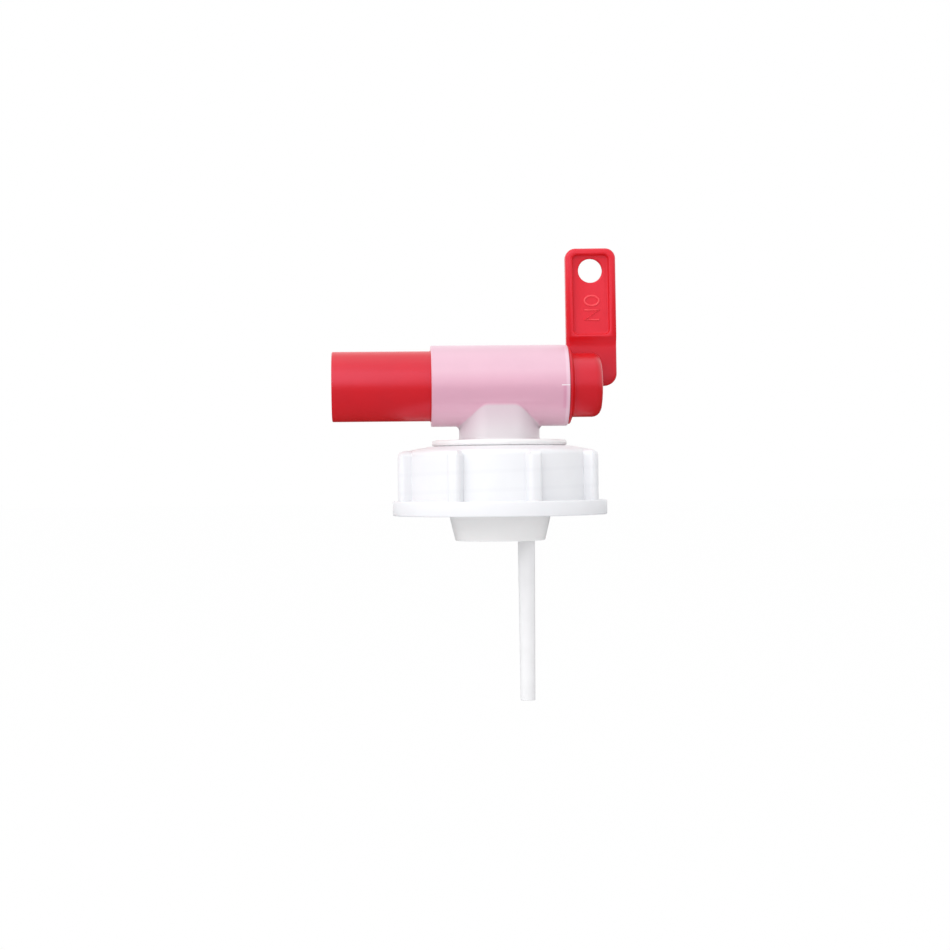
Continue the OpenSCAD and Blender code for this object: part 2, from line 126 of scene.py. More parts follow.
class SpindleSizes(bpy.types.PropertyGroup):
    """Sizes of the spout, the plug and the boss."""
    barrel_end: length("Barrel end", "Half the length of the barrel", 22.7)
    spout_r: length("Spout radius", "Outer radius of the spout", 11.65)
    spout_wall: length("Spout wall", "Wall of the spout", 2.2)
    plug_r: length("Plug radius", "Outer radius of the plug in the barrel", 11.85)
    plug_lead: length("Plug lead", "How far the plug reaches out of the barrel", 0.4)
    partition_x: length("Partition", "Middle of the wall between liquid and air", 2.8)
    partition_thick: length("Partition wall", "Thickness of that wall", 2.0)
    air_bore_r: length("Air bore", "Radius of the air's bore", 5.0)
    bead_x: length("Bead place", "Middle of the snap bead", 17.5)
    bead_wide: length("Bead width", "Width of the snap bead", 1.6)
    bead_high: length("Bead height", "Height of the snap bead", 0.5)
    lug_r: length("Lug radius", "Outer radius of the stop lug", 12.65)
    lug_long: length("Lug length", "How far the stop lug reaches into the barrel", 2.25)
    lug_turn: FloatProperty(name="Lug width", description="Width of the stop lug", default=radians(14),
                            subtype="ANGLE")
    collar_gap: length("Collar gap", "Gap between the barrel and the collar", 0.08)
    collar_r: length("Collar radius", "Radius of the collar", 12.9)
    collar_wide: length("Collar width", "Width of the collar's rim", 0.8)
    collar_round: length("Collar round", "Rounding of the collar's edge at the barrel", 0.25)
    mouth_round: length("Air mouth", "Rounding of the air bore's mouth in the boss", 0.4)
    cone_wide: length("Collar cone", "Length of the cone between the collar and the boss", 0.9)
    boss_r: length("Boss radius", "Radius of the boss", 10.65)
    boss_long: length("Boss length", "How far the boss stands out of the barrel", 11.4)
    boss_round: length("Boss round", "Rounding of the boss's outer edge", 3.0)
    port_x: length("Port", "Middle of the liquid port", -3.9)
    port_long: length("Port length", "Length of the liquid port", 11.0)
    port_wide: length("Port width", "Width of the liquid port", 10.0)
    air_port_x: length("Air port", "Middle of the air port", 8.7)
    air_port_r: length("Air port radius", "Radius of the air port", 2.0)


class LeverSizes(bpy.types.PropertyGroup):
    """Sizes of the lever and its letters."""
    middle_x: length("Place", "Middle of the lever at the barrel's axis", 32.05)
    wide: length("Width", "Width of the lever", 17.0)
    thick: length("Thickness", "Thickness of the lever", 5.0)
    lean: FloatProperty(name="Lean", description="Lean of the lever towards the spout", default=radians(0.4),
                        subtype="ANGLE")
    corner_r: length("Top corners", "Radius of the lever's top corners", 3.4)
    heel_r: length("Bottom corners", "Radius of the lever's bottom corners", 4.2)
    edge_r: length("Edges", "Rounding of the lever's outer edges", 1.1)
    panel_edge: length("Panel edges", "Rounding of the panels' edges", 0.5)
    rim: length("Rim", "Rim round the lever's panels", 2.45)
    panel_rise: length("Panel place", "How far the panels stand above the middle of the rims", 0.25)
    panel_high: length("Panel height", "Height of the lever's panels", 26.8)
    panel_deep: length("Panel depth", "Depth of the lever's panels", 1.5)
    panel_corner: length("Panel corners", "Radius of the panels' corners", 1.6)
    hole_r: length("Hole", "Radius of the hole in the lever", 4.05)
    hole_down: length("Hole place", "Distance from the lever's top to the hole's middle", 7.45)
    foot_land: length("Foot land", "Height of the rim below the panels", 0.8)
    foot_back: length("Foot", "How far the lever's foot is set back", 1.0)
    foot_hollow: length("Foot hollow", "Radius of the hollow between rim and foot", 7.0)
    stroke_r: length("Stroke", "Radius of the letters' strokes", 0.33)
    letter_high: length("Letter height", "Height of the letters' middle lines", 4.9)
    letter_wide: length("Letter width", "Width of the letters' middle lines", 3.3)
    letter_x: length("Letter place", "Middle of the letters across the lever", 32.15)
    first_letter_z: length("First letter", "Height of the O over the barrel's axis", 28.8)
    second_letter_z: length("Second letter", "Height of the N over the barrel's axis", 24.0)


class BodySizes(bpy.types.PropertyGroup):
    """Places of the tap body's colours, and finishing sizes of the gasket and the vent tube."""
    slot_x: length("Stop slot", "Where the stop lug's slot starts along the barrel", 19.9)
    slot_z: length("Slot's end", "Height of the slot's end over the barrel's axis", -0.48)
    slot_long: length("Slot's shade", "How far the shade of the slot reaches down", 7.5)
    tick_high: length("Tick", "Height of the light line at the slot's end", 0.28)
    lip_x: length("End lip", "Where the thin rim of the barrel's right end starts", 21.9)
    lip_rise: length("Lip's top", "Height of the top of the body's lip over the cap", 2.05)
    gasket_hole_r: length("Gasket hole", "Radius of the gasket's hole", 17.02)
    gasket_edge: length("Gasket edge", "Rounding of the gasket's edges", 0.25)
    tube_bore_r: length("Tube bore", "Radius of the vent tube's bore", 1.9)
    tube_end_r: length("Tube end", "Radius of the vent tube at its lower end", 2.45)
    tube_taper_z: length("Tube taper", "Height at which the tube starts to narrow", -6.0)
    tube_edge: length("Tube edge", "Rounding of the tube's ends", 0.2)


class Finishes(bpy.types.PropertyGroup):
    """Colours of the plastics."""
    red: colour("Red", "Colour of the spindle", (0.60, 0.005, 0.006))
    # Painted light: the thin lever gets a lighter red, standing in for light that passes through it.
    painted_light_lever_red: colour("Lever red", "Colour of the lever, which is thinner", (0.71, 0.006, 0.008))
    # Painted highlight: the letters are a lighter red where their raised strokes catch light.
    letter_highlight_red: colour("Letter red", "Colour of the letters on the lever", (0.92, 0.07, 0.09))
    red_haze: colour("Red haze", "Colour of the reflections on the spindle", (1.0, 0.65, 0.95))
    white: colour("White", "Colour of the cap", (0.83, 0.835, 0.86))
    shaded_white: colour("Thread shade", "Colour of the cap's wall over the thread", (0.808, 0.813, 0.84))
    natural: colour("Natural", "Colour of the tap body over hollows", (0.88, 0.87, 0.875))
    # Painted light: the bell under the cap is painted lighter, standing in for light that crosses the thin
    # plastic into the cap's shade.
    bell_painted_light: colour("Lit through", "Colour of the thin bell, which light crosses", (0.98, 0.975, 0.97))
    neck: colour("Neck", "Colour of the neck at its foot", (0.69, 0.64, 0.67))
    faint_blush: colour("Faint blush", "Colour of the neck near the barrel", (0.66, 0.53, 0.59))
    end_lip: colour("End lip", "Colour of the thin rim at the barrel's right end", (0.85, 0.66, 0.75))
    blush: colour("Blush", "Colour of the tap body where the plug shows through it", (0.70, 0.37, 0.49))
    # Painted reflection: the barrel's top and bottom are paler, for the white light and floor that they
    # reflect.
    blush_painted_reflection: colour("Pale blush", "Colour of the barrel at its top and bottom", (0.72, 0.43, 0.54))
    deep_blush: colour("Deep blush", "Colour of the thin wall over the stop lug", (0.66, 0.28, 0.42))
    tick: colour("Tick", "Colour of the stop slot's end", (0.92, 0.88, 0.90))
    tube: colour("Tube", "Colour of the vent tube", (0.89, 0.89, 0.90))
    seal: colour("Seal", "Colour of the gasket", (0.70, 0.70, 0.68))


class StageSettings(bpy.types.PropertyGroup):
    """Camera, floor and light."""
    lens: FloatProperty(name="Lens", description="Focal length in millimetres", default=75.8)
    yaw: FloatProperty(name="Yaw", description="Turn of the camera from +Y", default=radians(2.8),
                       subtype="ANGLE")
    roll: FloatProperty(name="Roll", description="Roll of the camera", default=radians(0.6), subtype="ANGLE")
    distance: length("Distance", "Distance of the camera from its target", 666.7)
    target: FloatVectorProperty(name="Target", description="Point that the camera looks at", subtype="XYZ",
                                unit="LENGTH", default=(-8.232 * MM, 0.0, -2.887 * MM))
    floor_drop: length("Floor drop", "Distance of the floor below the object", 45.0)
    floor_shade: colour("Floor", "Colour of the floor", (0.85, 0.85, 0.86))
    floor_mirrored: colour("Mirrored floor", "Colour of the floor in reflections", (0.02, 0.02, 0.02))
    floor_glow: share("Floor glow", "How far the camera sees the floor as plain white", 0.985)
    sky: share("Sky", "Strength of the light from all round", 0.83)
    sky_mirrored: share("Mirrored sky", "Strength of the light from all round in reflections", 1.2)
    key: FloatProperty(name="Key", description="Power of the large lamp in watts", default=8.0)
    key_wide: length("Key width", "Width of the large lamp", 1700.0)
    key_high: length("Key height", "Height of the large lamp", 1100.0)
    key_place: FloatVectorProperty(name="Key place", description="Place of the large lamp", subtype="XYZ",
                                   unit="LENGTH", default=(-0.65, -0.85, 0.72))
    top: FloatProperty(name="Top", description="Power of the lamp overhead in watts", default=1.5)
    top_wide: length("Top width", "Width and length of the lamp overhead", 1000.0)
    top_place: FloatVectorProperty(name="Top place", description="Place of the lamp overhead", subtype="XYZ",
                                   unit="LENGTH", default=(0.0, -0.15, 1.1))


class TapSettings(bpy.types.PropertyGroup):
    """Everything that the panel shows."""
    cap: PointerProperty(type=CapSizes)
    spindle: PointerProperty(type=SpindleSizes)
    lever: PointerProperty(type=LeverSizes)
    body: PointerProperty(type=BodySizes)
    finish: PointerProperty(type=Finishes)
    stage: PointerProperty(type=StageSettings)


# Outlines

def rounded(corners, steps=5):
    """Points of an outline. Each corner is (u, v) or, where it is rounded, (u, v, radius)."""
    points = []
    for index, corner in enumerate(corners):
        here = Vector(corner[:2])
        if len(corner) == 2:
            points.append(here)
            continue
        before = (Vector(corners[index - 1][:2]) - here).normalized()
        after = (Vector(corners[(index + 1) % len(corners)][:2]) - here).normalized()
        half = before.angle(after) / 2
        reach = corner[2] / tan(half)
        centre = here + (before + after).normalized() * corner[2] / sin(half)
        first = here + before * reach - centre
        last = here + after * reach - centre
        points += [centre + sweep(first, last, step / steps) for step in range(steps + 1)]
    return points


def sweep(first, last, part):
    """The arm that has turned a part of the way from first to last, two arms of one length."""
    whole = first.angle(last)
    return (first * sin((1 - part) * whole) + last * sin(part * whole)) / sin(whole)


def circle(u, v, radius, steps):
    """Points of a circle."""
    turns = [FULL_TURN * step / steps for step in range(steps)]
    return [(u + radius * cos(turn), v + radius * sin(turn)) for turn in turns]


# Meshes

def turned(points, steps, closed=True):
    """A mesh turned about Z from an outline of (radius, height)."""
    bm = bmesh.new()
    rim = [bm.verts.new((point[0], 0, point[1])) for point in points]
    pairs = list(zip(rim, rim[1:])) + ([(rim[-1], rim[0])] if closed else [])
    edges = [bm.edges.new(pair) for pair in pairs]
    bmesh.ops.spin(bm, geom=rim + edges, cent=(0, 0, 0), axis=(0, 0, 1), angle=FULL_TURN, steps=steps,
                   use_merge=True)
    bmesh.ops.remove_doubles(bm, verts=bm.verts, dist=MERGE)
    bmesh.ops.recalc_face_normals(bm, faces=bm.faces)
    return bm


def laid_along_x(bm):
    """Turns a mesh made about Z so that it lies along X, on the barrel's axis."""
    bmesh.ops.transform(bm, matrix=Matrix.Translation((0, 0, AXIS_Z)) @ Matrix.Rotation(pi / 2, 4, "Y"),
                        verts=bm.verts)
    return bm


def prism(points, low, high, place):
    """A mesh with that outline in u and v, from low to high. place(u, v, w) gives each point's place."""
    bm = bmesh.new()
    face = bm.faces.new([bm.verts.new(place(u, v, low)) for u, v in points])
    grown = bmesh.ops.extrude_face_region(bm, geom=[face])["geom"]
    shift = Vector(place(0, 0, high)) - Vector(place(0, 0, low))
    bmesh.ops.translate(bm, vec=shift, verts=[v for v in grown if isinstance(v, bmesh.types.BMVert)])
    bmesh.ops.recalc_face_normals(bm, faces=bm.faces)
    return bm


def scratch_object(bm):
    """An object for a cut or a join, which is removed afterwards."""
    mesh = bpy.data.meshes.new("scratch")
    bm.to_mesh(mesh)
    bm.free()
    obj = bpy.data.objects.new("scratch", mesh)
    bpy.context.scene.collection.objects.link(obj)
    return obj


def combined(base, other, operation):
    """The first mesh cut by, joined with or kept inside the other one. Both are used up."""
    base, other = scratch_object(base), scratch_object(other)
    modifier = base.modifiers.new("combine", "BOOLEAN")
    modifier.object = other
    modifier.operation = operation
    modifier.solver = "EXACT"
    depsgraph = bpy.context.evaluated_depsgraph_get()
    result = bpy.data.meshes.new_from_object(base.evaluated_get(depsgraph))
    bm = bmesh.new()
    bm.from_mesh(result)
    bmesh.ops.remove_doubles(bm, verts=bm.verts, dist=MERGE)
    for obj in (base, other):
        mesh = obj.data
        bpy.data.objects.remove(obj)
        bpy.data.meshes.remove(mesh)
    bpy.data.meshes.remove(result)
    return bm


def soften(bm, width, segments=3, sharp=radians(35)):
    """Rounds every edge that is sharper than an angle."""
    edges = [e for e in bm.edges if e.is_manifold and e.calc_face_angle(0) > sharp]
    bmesh.ops.bevel(bm, geom=edges, offset=width, offset_type="OFFSET", segments=segments, profile=0.5,
                    affect="EDGES", clamp_overlap=True, material=-1, loop_slide=True)


def add_piece(name, bm, finish, body, node, sharp=radians(32)):
    """Turns a mesh into a finished piece that rides on a body and stands for a node."""
    for face in bm.faces:
        face.smooth = True
    for edge in bm.edges:
        edge.smooth = edge.calc_face_angle(0) < sharp
    mesh = bpy.data.meshes.new(name)
    bm.to_mesh(mesh)
    bm.free()
    return place_piece(name, mesh, finish, body, node)


def place_piece(name, mesh, finish, body, node):
    """Links a mesh as a piece, gives it its finish and ties it to the frame."""
    mesh.materials.clear()
    mesh.materials.append(finish)
    piece = bpy.data.objects.new(name, mesh)
    bpy.context.scene.collection.objects.link(piece)
    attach(piece, body)
    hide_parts(node)
    return piece


def node_copy(node):
    """A copy of a node's mesh with its doubled points merged."""
    bm = bmesh.new()
    bm.from_mesh(frame["nodes"][node].data)
    bmesh.ops.remove_doubles(bm, verts=bm.verts, dist=2 * MERGE)
    return bm


# Finishes

def link(tree, source, target):
    """Joins two sockets of a node tree."""
    tree.links.new(source, target)


def node(tree, kind, **values):
    """Adds a node and sets its properties."""
    made = tree.nodes.new(kind)
    for key, value in values.items():
        setattr(made, key, value)
    return made


def calculate(tree, operation, *terms, clamp=False):
    """A Math node on numbers or sockets. Returns its result."""
    made = node(tree, "ShaderNodeMath", operation=operation, use_clamp=clamp)
    for socket, term in zip(made.inputs, terms):
        if isinstance(term, (int, float)):
            socket.default_value = term
        else:
            link(tree, term, socket)
    return made.outputs[0]


def ramp(tree, value, start, end):
    """A smooth step from 0 at start to 1 at end."""
    made = node(tree, "ShaderNodeMapRange", interpolation_type="SMOOTHSTEP")
    made.inputs["From Min"].default_value = start
    made.inputs["From Max"].default_value = end
    link(tree, value, made.inputs["Value"])
    return made.outputs["Result"]


def mixed(tree, factor, first, second):
    """A colour between two, which are colours or sockets."""
    made = node(tree, "ShaderNodeMix", data_type="RGBA")
    link(tree, factor, made.inputs["Factor"])
    for name, value in (("A", first), ("B", second)):
        socket = next(s for s in made.inputs if s.name == name and s.type == "RGBA")
        if isinstance(value, bpy.types.NodeSocket):
            link(tree, value, socket)
        else:
            socket.default_value = (*value, 1)
    return next(s for s in made.outputs if s.type == "RGBA")


def moulded_grain():
    """The shared effect of a moulded surface: fine grain, slow unevenness and a roughness that varies."""
    group = bpy.data.node_groups.get("moulded_grain")
    if group:
        return group
    group = bpy.data.node_groups.new("moulded_grain", "ShaderNodeTree")
    for name, kind, value in (("Vector", "NodeSocketVector", None), ("Grain Size", "NodeSocketFloat", 2000.0),
                              ("Grain", "NodeSocketFloat", 0.2), ("Roughness", "NodeSocketFloat", 0.4),
                              ("Variation", "NodeSocketFloat", 0.06)):
        socket = group.interface.new_socket(name=name, in_out="INPUT", socket_type=kind)
        if value is not None:
            socket.default_value = value
    for name in ("Height", "Roughness", "Cloud"):
        group.interface.new_socket(name=name, in_out="OUTPUT", socket_type="NodeSocketFloat")
    given = node(group, "NodeGroupInput").outputs
    put = node(group, "NodeGroupOutput").inputs
    fine = node(group, "ShaderNodeTexNoise")
    fine.inputs["Detail"].default_value = 2.0
    slow = node(group, "ShaderNodeTexNoise")
    slow.inputs["Scale"].default_value = 120.0
    slow.inputs["Detail"].default_value = 3.0
    for noise in (fine, slow):
        link(group, given["Vector"], noise.inputs["Vector"])
    link(group, given["Grain Size"], fine.inputs["Scale"])
    height = calculate(group, "MULTIPLY", fine.outputs["Fac"], given["Grain"])
    link(group, calculate(group, "ADD", height, calculate(group, "MULTIPLY", slow.outputs["Fac"], 0.35)),
         put["Height"])
    uneven = calculate(group, "MULTIPLY", calculate(group, "SUBTRACT", slow.outputs["Fac"], 0.5),
                       given["Variation"])
    link(group, calculate(group, "ADD", given["Roughness"], uneven, clamp=True), put["Roughness"])
    link(group, slow.outputs["Fac"], put["Cloud"])
    return group


class Plastic:
    """A plastic's material while it is built: its tree, shader, coordinates and grain."""

    def __init__(self, name, roughness, grain=0.2, grain_size=2000.0, bump=0.04, subsurface=0.0):
        self.material = bpy.data.materials.new(name)
        self.material.use_nodes = True
        self.tree = self.material.node_tree
        self.shader = self.tree.nodes["Principled BSDF"]
        self.shader.inputs["IOR"].default_value = 1.5
        self.shader.inputs["Subsurface Weight"].default_value = subsurface
        self.shader.inputs["Subsurface Radius"].default_value = (1.0, 0.8, 0.8)
        self.shader.inputs["Subsurface Scale"].default_value = 2 * MM
        place = node(self.tree, "ShaderNodeTexCoord").outputs["Object"]
        self.x, self.y, self.z = self.split(place)
        self.grain = node(self.tree, "ShaderNodeGroup", node_tree=moulded_grain())
        link(self.tree, place, self.grain.inputs["Vector"])
        self.grain.inputs["Grain Size"].default_value = grain_size
        self.grain.inputs["Grain"].default_value = grain
        self.grain.inputs["Roughness"].default_value = roughness
        bumped = node(self.tree, "ShaderNodeBump")
        bumped.inputs["Strength"].default_value = bump
        bumped.inputs["Distance"].default_value = 0.2 * MM
        link(self.tree, self.grain.outputs["Height"], bumped.inputs["Height"])
        link(self.tree, bumped.outputs["Normal"], self.shader.inputs["Normal"])
        link(self.tree, self.grain.outputs["Roughness"], self.shader.inputs["Roughness"])

    def split(self, vector):
        """The three coordinates of a vector."""
        made = node(self.tree, "ShaderNodeSeparateXYZ")
        link(self.tree, vector, made.inputs[0])
        return made.outputs

    def between(self, value, low, high, soft):
        """1 where a value is between two limits, with soft ends."""
        up = ramp(self.tree, value, low - soft, low + soft)
        down = ramp(self.tree, value, high + soft, high - soft)
        return calculate(self.tree, "MULTIPLY", up, down)

    def paint(self, shade, mottle=0.03):
        """Gives the shader its colour, with a slight slow mottle."""
        darker = node(self.tree, "ShaderNodeHueSaturation")
        darker.inputs["Value"].default_value = 1 - mottle
        if isinstance(shade, bpy.types.NodeSocket):
            link(self.tree, shade, darker.inputs["Color"])
        else:
            darker.inputs["Color"].default_value = (*shade, 1)
        patches = ramp(self.tree, self.grain.outputs["Cloud"], 0.35, 0.65)
        mottled = mixed(self.tree, patches, shade, darker.outputs["Color"])
        link(self.tree, mottled, self.shader.inputs["Base Color"])
        return self.material


def red_finish(lever, finish):
    """Glossy red plastic, with a fine grain on the lever's panels, and the thin lever painted a lighter red
    as painted light that passes through it.
    """
    smooth_grain, added_grain = 0.12, 1.4
    smooth_rough, added_rough = 0.33, 0.15
    lighten_start_z, lighten_end_z = AXIS_Z + 8 * MM, AXIS_Z + 17 * MM
    plastic = Plastic("red_plastic", roughness=smooth_rough, grain=smooth_grain, grain_size=1500.0, bump=0.05)
    tree = plastic.tree
    half_panel = lever.wide / 2 - lever.rim
    top = SPINDLE_HIGH.z - lever.rim
    left, right = lever.middle_x - half_panel, lever.middle_x + half_panel
    inside = calculate(tree, "MULTIPLY", plastic.between(plastic.x, left, right, 0.1 * MM),
                       plastic.between(plastic.z, top - lever.panel_high, top, 0.1 * MM))
    link(tree, calculate(tree, "ADD", smooth_grain, calculate(tree, "MULTIPLY", inside, added_grain)),
         plastic.grain.inputs["Grain"])
    link(tree, calculate(tree, "ADD", smooth_rough, calculate(tree, "MULTIPLY", inside, added_rough)),
         plastic.grain.inputs["Roughness"])
    plastic.shader.inputs["Specular IOR Level"].default_value = 0.65
    plastic.shader.inputs["Specular Tint"].default_value = (*finish.red_haze, 1)
    # Painted light: the spindle's red turns to the lighter lever red towards the lever's top.
    thin = ramp(tree, plastic.z, lighten_start_z, lighten_end_z)
    return plastic.paint(mixed(tree, thin, finish.red, finish.painted_light_lever_red))


def white_finish(sizes, finish):
    """White plastic of the cap. The thread shows through its wall as faint lines in a faint shade."""
    line_share, wall_share = 0.7, 0.3
    plastic = Plastic("white_plastic", roughness=0.42, bump=0.03, subsurface=0.1)
    tree = plastic.tree
    turn = calculate(tree, "DIVIDE", calculate(tree, "ARCTAN2", plastic.y, plastic.x), FULL_TURN)
    rise = calculate(tree, "DIVIDE", calculate(tree, "ADD", plastic.z, sizes.line_drop), sizes.pitch)
    wave = calculate(tree, "MULTIPLY", calculate(tree, "SUBTRACT", rise, turn), FULL_TURN)
    wave = calculate(tree, "SINE", wave)
    on_wall = plastic.between(plastic.z, CAP_LOW.z + sizes.band_high, CAP_HIGH.z - 5 * MM, 1.0 * MM)
    lines = calculate(tree, "MULTIPLY", ramp(tree, wave, 0.6, 1.0), line_share)
    shade = calculate(tree, "MULTIPLY", calculate(tree, "ADD", lines, wall_share), on_wall)
    return plastic.paint(mixed(tree, shade, finish.white, finish.shaded_white), mottle=0.015)


def natural_finish(sizes, finish):
    """Milky plastic of the tap body, which takes on the red of the plug behind its barrel's wall. A painted
    reflection makes the barrel paler at its top and bottom, and painted light makes the bell under the cap
    lighter.
    """
    slot_share, lip_share = 0.8, 0.35
    plastic = Plastic("natural_plastic", roughness=0.3, bump=0.03, subsurface=0.1)
    plastic.shader.inputs["Specular IOR Level"].default_value = 1.0
    tree = plastic.tree
    barrel_r = TAP_HIGH.z - AXIS_Z
    up = calculate(tree, "SUBTRACT", plastic.z, AXIS_Z)
    off_axis = calculate(tree, "ADD", calculate(tree, "MULTIPLY", plastic.y, plastic.y),
                         calculate(tree, "MULTIPLY", up, up))
    off_axis = calculate(tree, "SQRT", off_axis)
    near_plug = ramp(tree, off_axis, barrel_r + 8 * MM, barrel_r)
    over_plug = ramp(tree, off_axis, barrel_r + 0.6 * MM, barrel_r)
    front = ramp(tree, plastic.y, 0.5 * MM, -0.5 * MM)
    slot = calculate(tree, "MULTIPLY", front,
                     plastic.between(plastic.x, sizes.slot_x + 0.6 * MM, sizes.lip_x, 0.4 * MM))
    slot = calculate(tree, "MULTIPLY", slot,
                     plastic.between(up, sizes.slot_z - sizes.slot_long, sizes.slot_z - 0.1 * MM, 0.5 * MM))
    tick = calculate(tree, "MULTIPLY", front, plastic.between(plastic.x, sizes.slot_x, TAP_HIGH.x, 0.05 * MM))
    tick_low, tick_top = sizes.slot_z - sizes.tick_high / 2, sizes.slot_z + sizes.tick_high / 2
    tick = calculate(tree, "MULTIPLY", tick, plastic.between(up, tick_low, tick_top, 0.04 * MM))
    # Painted reflection: the barrel is paler towards its top and its bottom, for the white surroundings that
    # it reflects.
    pale = calculate(tree, "ADD", ramp(tree, up, 0, barrel_r / 2),
                     ramp(tree, up, -barrel_r / 2, -0.9 * barrel_r))
    blush = mixed(tree, pale, finish.blush, finish.blush_painted_reflection)
    blush = mixed(tree, calculate(tree, "MULTIPLY", slot, slot_share), blush, finish.deep_blush)
    blush = mixed(tree, tick, blush, finish.tick)
    end_lip = ramp(tree, plastic.x, sizes.lip_x - 0.6 * MM, sizes.lip_x - 0.3 * MM)
    blush = mixed(tree, calculate(tree, "MULTIPLY", end_lip, lip_share), blush, finish.end_lip)
    neck = mixed(tree, near_plug, finish.neck, finish.faint_blush)
    # Painted light: below the cap, the tap body's bell is painted lighter.
    hanging = ramp(tree, plastic.z, 1 * MM, -1 * MM)
    seat = mixed(tree, hanging, finish.natural, finish.bell_painted_light)
    lip_top = CAP_HIGH.z + sizes.lip_rise
    hollow = mixed(tree, ramp(tree, plastic.z, lip_top, lip_top + 0.4 * MM), seat, neck)
    plastic.shader.inputs["Sheen Weight"].default_value = 0.25
    return plastic.paint(mixed(tree, over_plug, hollow, blush), mottle=0.02)


def plain_finish(name, shade, roughness):
    """A plastic or rubber of one colour."""
    return Plastic(name, roughness=roughness, bump=0.03).paint(shade)


# Pieces

def cap_outline(sizes):
    """The cap's section in radius and height, from the foot of the bore round to its ceiling."""
    bottom, top, band_r = CAP_LOW.z, CAP_HIGH.z, CAP_HIGH.x
    ceiling = top - sizes.top_thick
    fall = top - sizes.crown_fall
    return rounded([
        (sizes.thread_r, bottom, SMALL_ROUND), (band_r, bottom, EDGE_ROUND),
        (band_r, bottom + sizes.band_high, EDGE_ROUND), (sizes.wall_r, bottom + sizes.band_high, SMALL_ROUND),
        (sizes.shoulder_r, fall, sizes.shoulder_round), (sizes.land_r, top, EDGE_ROUND),
        (sizes.hole_r, top, TINY_ROUND), (sizes.hole_r, ceiling, TINY_ROUND),
        (sizes.thread_r, ceiling, sizes.ceiling_round)])


def cap_ribs(sizes):
    """All grip ribs in one mesh: fins with an arched top, round outer edges and a round top corner."""
    foot = CAP_LOW.z + sizes.band_high / 2
    crown = CAP_HIGH.z - sizes.crown_fall
    half = sizes.rib_wide / 2
    inner = sizes.thread_r + 0.5 * MM
    crest = sizes.wall_r + sizes.rib_stand
    arch = half - 0.02 * MM
    front = rounded([(-half, foot), (half, foot), (half, crown, arch), (-half, crown, arch)], 10)
    plan = rounded([(inner, -half), (crest, -half, sizes.rib_round), (crest, half, sizes.rib_round),
                    (inner, half)], 8)
    side = rounded([(inner, foot), (crest, foot), (crest, crown, sizes.rib_top_round), (inner, crown)], 8)
    rib = combined(prism(front, inner, crest, lambda u, v, w: (w, u, v)),
                   prism(plan, foot, crown, lambda u, v, w: (u, v, w)), "INTERSECT")
    rib = combined(rib, prism(side, -2 * half, 2 * half, lambda u, v, w: (u, w, v)), "INTERSECT")
    mesh = bpy.data.meshes.new("rib")
    rib.to_mesh(mesh)
    rib.free()
    ribs = bmesh.new()
    for index in range(sizes.rib_count):
        ribs.from_mesh(mesh)
        bmesh.ops.rotate(ribs, verts=ribs.verts[-len(mesh.vertices):], cent=(0, 0, 0),
                         matrix=Matrix.Rotation(sizes.rib_turn + FULL_TURN * index / sizes.rib_count, 3, "Z"))
    bpy.data.meshes.remove(mesh)
    return ribs


def add_thread(bm, sizes, steps=60):
    """Sweeps the thread's ridge up a right-hand helix inside the cap, with ends that sink into the wall."""
    run_out, least = 5, 0.08
    total = round(steps * sizes.thread_turns)
    root_r = sizes.thread_r + 0.2 * MM
    low = CAP_LOW.z + sizes.thread_lead
    crest_r = sizes.thread_r - sizes.ridge_high
    slope = (sizes.ridge_foot - sizes.ridge_crest) / 2
    section = rounded([(root_r, low), (root_r, low + sizes.ridge_foot),
                       (crest_r, low + slope + sizes.ridge_crest, sizes.ridge_round),
                       (crest_r, low + slope, sizes.ridge_round)], 3)
    ridge = bmesh.new()
    start = ridge.faces.new([ridge.verts.new((0, -u, v)) for u, v in section])
    made = bmesh.ops.spin(ridge, geom=[start], cent=(0, 0, 0), axis=(0, 0, 1), steps=total,
                          angle=FULL_TURN * sizes.thread_turns, dvec=(0, 0, sizes.pitch / steps))
    bmesh.ops.recalc_face_normals(ridge, faces=ridge.faces)
    rings = [ridge.verts[i:i + len(section)] for i in range(0, len(ridge.verts), len(section))]
    for index, ring in enumerate(rings):
        kept = max(least, min(1.0, index / run_out, (len(rings) - 1 - index) / run_out))
        for vert in ring:
            radius = sqrt(vert.co.x ** 2 + vert.co.y ** 2)
            factor = (root_r - (root_r - radius) * kept) / radius
            vert.co.x *= factor
            vert.co.y *= factor
    mesh = bpy.data.meshes.new("ridge")
    ridge.to_mesh(mesh)
    ridge.free()
    bm.from_mesh(mesh)
    bpy.data.meshes.remove(mesh)


def make_cap(sizes, finish):
    """The screw cap, with its ribs, its band and its thread."""
    bm = combined(turned(cap_outline(sizes), 256), cap_ribs(sizes), "UNION")
    add_thread(bm, sizes)
    return add_piece("cap", bm, white_finish(sizes, finish), "cap", "screw_cap")


def make_tap_body(sizes, finish):
    """The tap body's moulding: the frame's solid with its curves smooth and its own finish."""
    return add_piece("tap_moulding", node_copy("tap_body"), natural_finish(sizes, finish), "tap", "tap_body")


